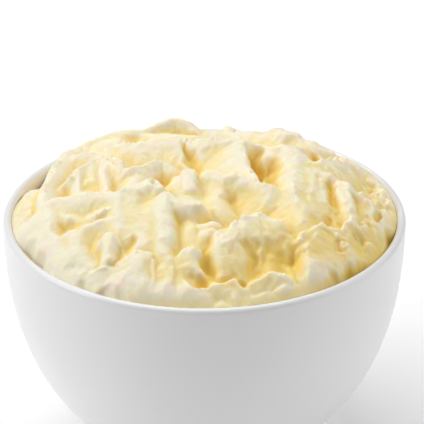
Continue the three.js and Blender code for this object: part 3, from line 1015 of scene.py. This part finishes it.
# %% Small lumps
LUMPS = 0.5
LUMPS_LOWERED = 0.2
DISHES = 0.8
SMALL_DISHES = 0.35
DISH_BEND = 0.35
GRAINS = 0.08
CRUMB_GRAINS = 0.5
CRUMBS = 1.2
CRUMBLED_SIDE = dict(at=(57, 0), spread=90)
CRUMBLED_FRONT = dict(at=(48, -26), spread=110)
CRUMBLED_FRONT_SHARE = 0.5


def spot(x, y, at, spread):
    return np.exp(-((x - at[0]) ** 2 + (y - at[1]) ** 2) / spread)


def lumps(x, y):
    at_x, at_y = bent(x, y)
    torn_x = at_x + DISH_BEND * bumps(x, y, size=1.2, seed=17)
    torn_y = at_y + DISH_BEND * bumps(x, y, size=1.2, seed=18)
    broad = LUMPS * bumps(at_x, at_y, size=8, seed=11) - LUMPS_LOWERED
    torn = DISHES * dishes(torn_x, torn_y, size=6.5, seed=19)
    torn = torn + SMALL_DISHES * dishes(torn_x, torn_y, size=2.4, seed=20)
    crumbly = spot(x, y, **CRUMBLED_SIDE) + CRUMBLED_FRONT_SHARE * spot(x, y, **CRUMBLED_FRONT)
    grains = (GRAINS + CRUMB_GRAINS * crumbly) * bumps(x, y, size=1.3, seed=13)
    crumbs = CRUMBS * crumbly * bumps(x, y, size=2.4, seed=15)
    return broad + dryness(x) * torn + (grains + crumbs)


print("crumbs up to", CRUMBS, "mm")

# %% [markdown]
# The surface is the highest of all folds over the low ground. Taking simply the highest would
# leave knife-cut seams, and moist mash closes them a little, so a soft maximum rounds each seam.
# Then come the lumps, and last the hollows are taken off. Close to the wall everything runs out
# into the low ground, so that the edge follows the bowl.

# %% Height of the mash
SEAM_SOFTNESS = 0.4
RIM_LUMPS = 2.4
RIM_LUMPS_FROM = 0.6
RIM_LUMPS_OVER = 0.2
RUN_OUT = 40


def blend_highest(heights, softness):
    highest = np.maximum.reduce(heights)
    return highest + softness * np.log(sum(np.exp((h - highest) / softness) for h in heights))


def mash_height(x, y):
    at_x, at_y = bent(x, y)
    out = outward(x, y)
    valley = valley_height(x, y)
    folds = [fold_height(at_x, at_y, fold) for fold in FOLDS]
    rim_lumps = RIM_LUMPS * np.abs(bumps(at_x, at_y, size=6, seed=14))
    low_lumps = valley + rim_lumps * ease((out - RIM_LUMPS_FROM) / RIM_LUMPS_OVER)
    folded = blend_highest([low_lumps, *folds], SEAM_SOFTNESS)
    heaped = valley + (folded + lumps(x, y) - valley) * (1 - out ** RUN_OUT)
    return heaped - dug_depth(x, y)


middle_height = mash_height(np.zeros(1), np.zeros(1))[0]
print("mash in the middle", round(float(middle_height), 1), "mm over the rim")

# %% [markdown]
# The height becomes a mesh. A square grid would be cut raggedly by the round bowl. Rings round the
# bowl's axis fit it, and when each ring has six points more than the ring inside it, all faces
# are about as large.

# %% Rings of faces
def join_rings(outer, inner, upward):
    """Triangles between two rings that may have different numbers of points."""
    faces = []
    i = j = 0
    while i < len(outer) or j < len(inner):
        ahead = (i + 1) * len(inner) <= (j + 1) * len(outer)
        if i < len(outer) and (ahead or j >= len(inner) or len(inner) == 1):
            face = (inner[j % len(inner)], outer[i], outer[(i + 1) % len(outer)])
            i += 1
        else:
            face = (inner[j % len(inner)], outer[i % len(outer)], inner[(j + 1) % len(inner)])
            j += 1
        if len(set(face)) == 3:
            faces.append(face if upward else face[::-1])
    return faces


def ring_places(count, radius):
    turn = 2 * math.pi * np.arange(count) / count
    return radius * np.cos(turn), radius * np.sin(turn)


print("faces between rings of 12 and 6", len(join_rings(range(6, 18), range(6), upward=True)))

# %% [markdown]
# The top is a disc of such rings, lifted to the height of the mash. Its rim would stand out
# through the bowl where the wall curves in, so points beyond the wall are pulled back to it, a
# hair into the glaze so that no slit of light shows.

# %% Top of the mash
TOP_RINGS = 150
RING_GROWTH = 6
INTO_GLAZE = 0.05

disc = [ring_places(max(1, RING_GROWTH * k), HEAP_RADIUS * k / TOP_RINGS)
        for k in range(TOP_RINGS + 1)]
disc_x = np.concatenate([ring[0] for ring in disc])
disc_y = np.concatenate([ring[1] for ring in disc])
from_middle = np.hypot(disc_x, disc_y)
top_height = mash_height(disc_x, disc_y)
wall_radius = inside_radius(np.maximum(-top_height, 0)) + INTO_GLAZE
pull = np.minimum(1, wall_radius / np.maximum(from_middle, TINY))
points = [np.stack([disc_x * pull, disc_y * pull, top_height], 1)]
starts = np.cumsum([0] + [len(ring[0]) for ring in disc])
faces = []
for k in range(1, TOP_RINGS + 1):
    outer = range(starts[k], starts[k + 1])
    faces += join_rings(outer, range(starts[k - 1], starts[k]), upward=True)
print("faces on top", len(faces))

# %% [markdown]
# The mash fills the bowl, so the mesh goes on down the wall and closes on the floor. Nobody sees
# that part, and it only makes the mash one solid, so a few ever coarser rings are enough.

# %% Underside of the mash
UNDERSIDE_RINGS = (450, 225, 112, 56, 28, 14)
LAST_RING_LIFT = 0.7
FLOOR_CLEARANCE = 0.4

edge_depth = -top_height[starts[TOP_RINGS]:]
above = range(starts[TOP_RINGS], starts[TOP_RINGS + 1])
used = starts[TOP_RINGS + 1]
for k, count in enumerate(UNDERSIDE_RINGS):
    down = math.sin((k + 1) / len(UNDERSIDE_RINGS) * math.pi / 2)
    near = edge_depth[(np.arange(count) * len(edge_depth)) // count]
    depth = near + (INSIDE_DEPTH - LAST_RING_LIFT - near) * down
    x, y = ring_places(count, 1.0)
    points.append(np.stack([x * inside_radius(depth), y * inside_radius(depth), -depth], 1))
    ring = range(used, used + count)
    faces += join_rings(above, ring, upward=False)
    above, used = ring, used + count
points.append(np.array([[0.0, 0.0, -INSIDE_DEPTH + FLOOR_CLEARANCE]]))
faces += join_rings(above, range(used, used + 1), upward=False)
points = np.concatenate(points)
points[:, 2] += RIM_HEIGHT
mash = add_mesh("mash", (points * MM).tolist(), faces)
shade_smooth(mash)
print("mash faces", len(faces), "top", round(points[:, 2].max(), 1), "mm")

# %% [markdown]
# In light, crests of mash look cream and its hollows yellow, because light that goes into a hollow
# comes out through more mash. Here that yellow is painted shade: which places are hollow is found
# by comparing the surface with a blurred copy of itself. Blurring and steepness are easiest on a
# square grid, so the heights are worked out once more on one, and read back between its points.

# %% Blurred heights
GRID_STEP = 0.5
GRID_REACH = 72.0
LAST_CELL = 1.001


def blurred(heights, radius):
    across = np.fft.fftfreq(heights.shape[0], GRID_STEP)
    fall = np.exp(-2 * (math.pi * radius * across) ** 2)
    return np.real(np.fft.ifft2(np.fft.fft2(heights) * fall[:, None] * fall[None, :]))


def read_grid(grid, x, y):
    at_x = np.clip((x + GRID_REACH) / GRID_STEP, 0, grid.shape[1] - LAST_CELL)
    at_y = np.clip((y + GRID_REACH) / GRID_STEP, 0, grid.shape[0] - LAST_CELL)
    i, j = at_x.astype(int), at_y.astype(int)
    u, v = at_x - i, at_y - j
    low = grid[j, i] * (1 - u) + grid[j, i + 1] * u
    high = grid[j + 1, i] * (1 - u) + grid[j + 1, i + 1] * u
    return low * (1 - v) + high * v


grid_line = np.arange(-GRID_REACH, GRID_REACH, GRID_STEP)
grid_height = mash_height(*np.meshgrid(grid_line, grid_line))
rise_y, rise_x = np.gradient(blurred(grid_height, radius=0.8), GRID_STEP)
steepness = np.hypot(rise_x, rise_y)
print("steepest slope", round(float(steepness.max()), 1))

# %% [markdown]
# The painted shade of each place is one number from 0 to 1, from cream to yellow. It starts from
# where the place is. Painted shade makes the mash yellower toward the right and the front, which
# get less light, where a face is steep and so turned from the light above, and where a spoon dug.
# Painted light makes it paler near the wall and along the front rim, with painted shade again at
# the rim's right end. It could be painted on by hand, but paint wouldn't follow when a fold moves.

# %% Painted shade by place
LEAST_PAINTED_SHADE = 0.21
PAINTED_SHADE_RIGHT = 0.13
PAINTED_SHADE_STEEP = 0.1
HALF_STEEP = 0.8
PAINTED_SHADE_FRONT = 0.3
PAINTED_SHADE_DUG = 0.07
PAINTED_LIGHT_EDGE = 0.06
PAINTED_LIGHT_FRONT_RIM = 0.34
PAINTED_SHADE_RIGHT_RIM = 0.42
EDGE_FROM = 50
EDGE_OVER = 10
RIM_FROM = 54
RIM_OVER = 6


def toward(way, start, span):
    """0 up to start, 1 beyond start + span, measured in the direction way."""
    return ease((way[0] * disc_x + way[1] * disc_y - start) / span)


# Painted shade: yellower toward the right, where less light falls.
yellow = LEAST_PAINTED_SHADE + PAINTED_SHADE_RIGHT * toward(way=(0.8, -0.6), start=-5, span=60)
# Painted shade on steep faces, which turn from the light above.
yellow += PAINTED_SHADE_STEEP * read_grid(steepness / (HALF_STEEP + steepness), disc_x, disc_y)
at_edge = ease((from_middle - EDGE_FROM) / EDGE_OVER)
# Painted shade toward the front, and painted light close to the wall.
yellow += PAINTED_SHADE_FRONT * toward(way=(0.5, -0.87), start=25, span=35) - PAINTED_LIGHT_EDGE * at_edge
# Painted shade in the hollows a spoon dug.
yellow += PAINTED_SHADE_DUG * dug_depth(disc_x, disc_y) * (1 - at_edge)
# Painted light along the front rim, where light comes in over the low wall, with painted shade
# toward its right end.
rim_light_and_shade = ease((from_middle - RIM_FROM) / RIM_OVER)
rim_light_and_shade = rim_light_and_shade * toward(way=(0, -1), start=0, span=30)
right_rim_shade = PAINTED_SHADE_RIGHT_RIM * toward(way=(1, 0), start=32, span=14)
yellow += rim_light_and_shade * (right_rim_shade - PAINTED_LIGHT_FRONT_RIM)
print("yellow by place", round(float(yellow.min()), 2), "to", round(float(yellow.max()), 2))

# %% [markdown]
# Then painted shade for depth is added: how far a place is sunk under the surface blurred over
# 1.2, 3 and 8 mm, for small nicks, folds and whole hollows. Near the wall there is no mash further
# out to compare with, so it counts less. An ambient occlusion node could tell deep from high as
# well, but this painted shade, stored as a number on the mesh, survives the export.

# %% Painted shade by depth
SUNK_EDGE_LOSS = 0.6
UNSEEN = 0.5
BLURS = ((1.2, 0.3), (3.0, 0.4), (8.0, 0.3))

# Painted shade: yellower the deeper a place is sunk.
for radius, share in BLURS:
    around = read_grid(blurred(grid_height, radius), disc_x, disc_y)
    sunk = share * (around - top_height) / radius
    yellow += np.where(sunk > 0, 1 - SUNK_EDGE_LOSS * at_edge, 1) * sunk
# The painted light and shade is stored on the mesh as a point attribute.
painted_shade = np.full(len(points), UNSEEN)
painted_shade[:len(yellow)] = yellow
painted_shade = np.clip(painted_shade, 0, 1)
attribute = mash.data.attributes.new("painted_shade", "FLOAT", "POINT")
attribute.data.foreach_set("value", painted_shade)
print("painted_shade", [round(float(share), 2) for share in np.percentile(painted_shade, (5, 50, 95))])

# %% [markdown]
# Mash is soft, moist and a little translucent. Light goes about a millimetre into it and comes out
# warm, which subsurface scattering does, red furthest and blue least. A plain diffuse paint would
# look like plaster. Its colour is read from the painted shade number through a ramp from cream to
# deep yellow, so hollows, steep faces and the side away from the lights carry painted shade, a
# weak coat gives the moist sheen, and a fine noise the grain of riced potato.

# %% Mash material
MASH_COLOUR = (0.97, 0.9, 0.62)
MASH_ROUGHNESS = 0.5
MASH_FINISH = {
    "Subsurface Weight": 1.0,
    "Subsurface Radius": (1.9, 1.3, 0.3),
    "Subsurface Scale": 0.0008,
    "IOR": 1.42,
    "Coat Weight": 0.05,
    "Coat Roughness": 0.3,
}
# From little painted shade, cream, to the most painted shade, deep yellow.
CREAM_TO_YELLOW = (
    (0.08, (0.96, 0.845, 0.66, 1)),
    (0.3, (0.96, 0.79, 0.46, 1)),
    (0.5, (0.945, 0.735, 0.325, 1)),
    (0.9, (0.93, 0.675, 0.165, 1)),
)


def make_mash():
    material, shader = plain_material("mashed_potato", MASH_COLOUR, MASH_ROUGHNESS)
    set_finish(shader, MASH_FINISH)
    # The colour follows the painted light and shade stored on the mesh.
    painted_shade_node = add_node(material, "ShaderNodeAttribute", attribute_name="painted_shade")
    ramp = add_node(material, "ShaderNodeValToRGB")
    stops = ramp.color_ramp.elements
    stops[0].position = CREAM_TO_YELLOW[0][0]
    stops[1].position = CREAM_TO_YELLOW[-1][0]
    for place, colour in CREAM_TO_YELLOW[1:-1]:
        stops.new(place)
    for stop, (place, colour) in zip(stops, CREAM_TO_YELLOW):
        stop.color = colour
    link(material, painted_shade_node.outputs["Fac"], ramp.inputs["Fac"])
    link(material, ramp.outputs["Color"], shader.inputs["Base Color"])
    add_unevenness(material, shader, scale=900.0, detail=4.0, strength=0.35, distance=0.0005)
    return material


mash.data.materials.append(make_mash())
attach(mash, "root")
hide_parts("mashed_potato")
print("mash finish", mash.data.materials[0].name)
